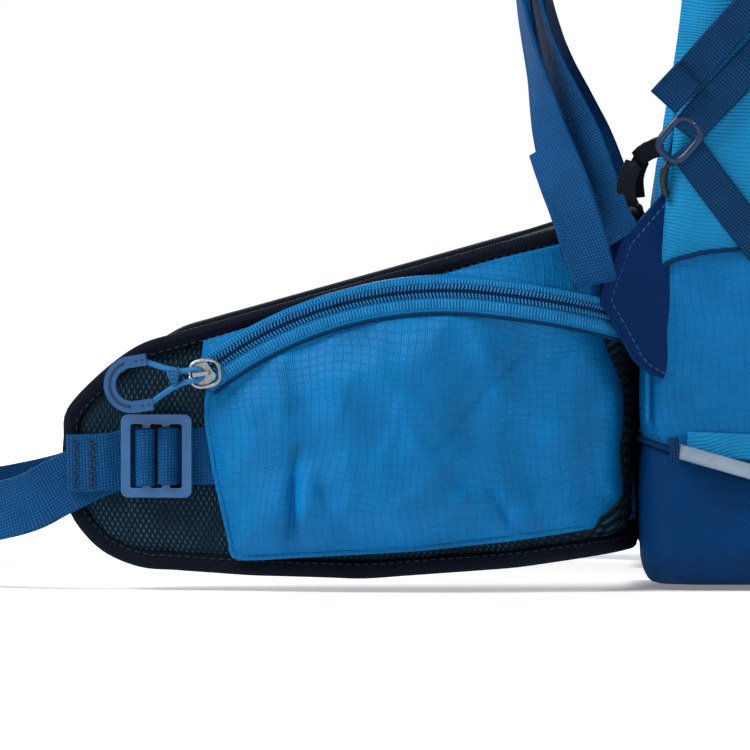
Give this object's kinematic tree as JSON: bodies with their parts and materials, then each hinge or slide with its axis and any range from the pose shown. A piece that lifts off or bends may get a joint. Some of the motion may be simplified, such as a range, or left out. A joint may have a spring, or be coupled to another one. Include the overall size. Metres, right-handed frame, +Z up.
{
  "type": "travel backpack",
  "caption": "Tall travel backpack with padded hip belt, zipped hip pockets, folded-edge shoulder straps, front flap and side compression straps.",
  "frame": {"origin": "on the flat base of the bag, in the middle of its width and half way through the depth of the base", "axes": "+Z up; the wearer faces -Y, so the back panel and the harness are towards -Y and the front flap towards +Y; the wearer's left is +X"},
  "size_m": [0.3792, 0.6236, 0.6775],
  "materials": {
    "ripstop": "ripstop nylon weave, soft wrinkles",
    "coated_twill": "coated packcloth, low sheen",
    "stretch_net": "fine ribbed stretch mesh",
    "webbing": "woven nylon webbing",
    "pocket_ripstop": "ripstop nylon weave with stitched seams",
    "spacer_mesh": "open spacer mesh over foam",
    "binding": "folded binding tape, stitched",
    "zip_coil": "moulded coil with woven tape",
    "slider_metal": "cast and plated",
    "cord": "braided cord",
    "lock_plastic": "translucent acetal, satin",
    "buckle_plastic": "satin acetal",
    "wing_cloth": "coated cloth, dark",
    "clear_tube": "clear sleeve over cord",
    "frame_plastic": "smooth HDPE sheet",
    "frame_metal": "drawn rod"
  },
  "bodies": {
    "pack": {"base_panel": "coated_twill", "top_panel": "ripstop", "back_panel": "coated_twill", "front_panel": "ripstop", "flap_zip_chain": "zip_coil", "frame_sheet": "frame_plastic", "frame_wire": "frame_metal", "lumbar_pad": "spacer_mesh", "back_pad": "spacer_mesh", "haul_handle": "webbing", "hip_buckle_female": "buckle_plastic", "pole_loop": "clear_tube", "pole_loop_patch": "webbing", "side_panel_left": "ripstop", "side_panel_right": "ripstop", "side_pocket_left": "stretch_net", "side_pocket_right": "stretch_net", "side_strap_upper_left": "webbing", "side_strap_upper_right": "webbing", "side_strap_lower_left": "webbing", "side_strap_lower_right": "webbing", "side_ring_left": "lock_plastic", "side_ring_right": "lock_plastic", "shoulder_strap_left": "spacer_mesh", "shoulder_strap_right": "spacer_mesh", "strap_lock_left": "buckle_plastic", "strap_lock_right": "buckle_plastic", "strap_web_left": "webbing", "strap_web_right": "webbing", "belt_fin_left": "spacer_mesh", "belt_fin_right": "spacer_mesh", "belt_binding_left": "binding", "belt_binding_right": "binding", "belt_pocket_left": "pocket_ripstop", "belt_pocket_right": "pocket_ripstop", "belt_zip_chain_left": "zip_coil", "belt_zip_chain_right": "zip_coil", "belt_lock_left": "lock_plastic", "belt_lock_right": "lock_plastic", "belt_wing_left": "wing_cloth", "belt_wing_right": "wing_cloth", "belt_web_left": "webbing", "belt_web_right": "webbing"},
    "zip_slider_left": {"belt_slider_left": "slider_metal"},
    "zip_slider_right": {"belt_slider_right": "slider_metal"},
    "zip_pull_left": {"belt_pull_cord_left": "cord", "belt_pull_tab_left": "lock_plastic"},
    "zip_pull_right": {"belt_pull_cord_right": "cord", "belt_pull_tab_right": "lock_plastic"},
    "front_flap_body": {"front_flap": "ripstop", "front_pocket": "stretch_net"},
    "flap_slider_body": {"flap_slider": "slider_metal"},
    "flap_pull_body": {"flap_pull": "lock_plastic"},
    "hip_buckle_body": {"hip_buckle_male": "buckle_plastic"},
    "sternum_body": {"sternum_clip_left": "buckle_plastic", "sternum_clip_right": "buckle_plastic", "sternum_web_left": "webbing", "sternum_web_right": "webbing", "sternum_buckle_female": "buckle_plastic"},
    "sternum_buckle_body": {"sternum_buckle_male": "buckle_plastic"}
  },
  "joints": [
    {"name": "belt_zip_left", "type": "hinge", "parent": "pack", "child": "zip_slider_left", "pos_m": [0.16294, -0.195, -0.0413], "axis": [-0.9962, 0.0872, 0], "range_deg": [0, 44.5]},
    {"name": "belt_zip_right", "type": "hinge", "parent": "pack", "child": "zip_slider_right", "pos_m": [-0.16294, -0.195, -0.0413], "axis": [-0.9962, -0.0872, 0], "range_deg": [0, 44.5]},
    {"name": "belt_pull_left", "type": "hinge", "parent": "zip_slider_left", "child": "zip_pull_left", "pos_m": [0.1733, -0.29915, 0.09129], "axis": [-0.0132, -0.1507, 0.9885], "range_deg": [0, 110]},
    {"name": "belt_pull_right", "type": "hinge", "parent": "zip_slider_right", "child": "zip_pull_right", "pos_m": [-0.1733, -0.29915, 0.09129], "axis": [-0.0132, 0.1507, -0.9885], "range_deg": [0, 110]},
    {"name": "flap_fold", "type": "hinge", "parent": "pack", "child": "front_flap_body", "pos_m": [0, 0.12846, 0.09], "axis": [-1, 0, 0], "range_deg": [0, 90]},
    {"name": "flap_zip", "type": "slide", "parent": "pack", "child": "flap_slider_body", "axis": [0, -0.077, 0.997], "range_m": [0, 0.3]},
    {"name": "flap_pull_swing", "type": "hinge", "parent": "flap_slider_body", "child": "flap_pull_body", "pos_m": [0.101, 0.13, 0.11419], "axis": [1, 0, 0], "range_deg": [0, 110]},
    {"name": "hip_buckle_release", "type": "slide", "parent": "pack", "child": "hip_buckle_body", "axis": [-1, 0, 0], "range_m": [0, 0.028], "deforming": ["belt_web_right"]},
    {"name": "sternum_height", "type": "slide", "parent": "pack", "child": "sternum_body", "axis": [0, 0, 1], "range_m": [-0.024, 0.024]},
    {"name": "sternum_buckle_release", "type": "slide", "parent": "sternum_body", "child": "sternum_buckle_body", "axis": [-1, 0, 0], "range_m": [0, 0.016], "deforming": ["sternum_web_right"]}
  ]
}
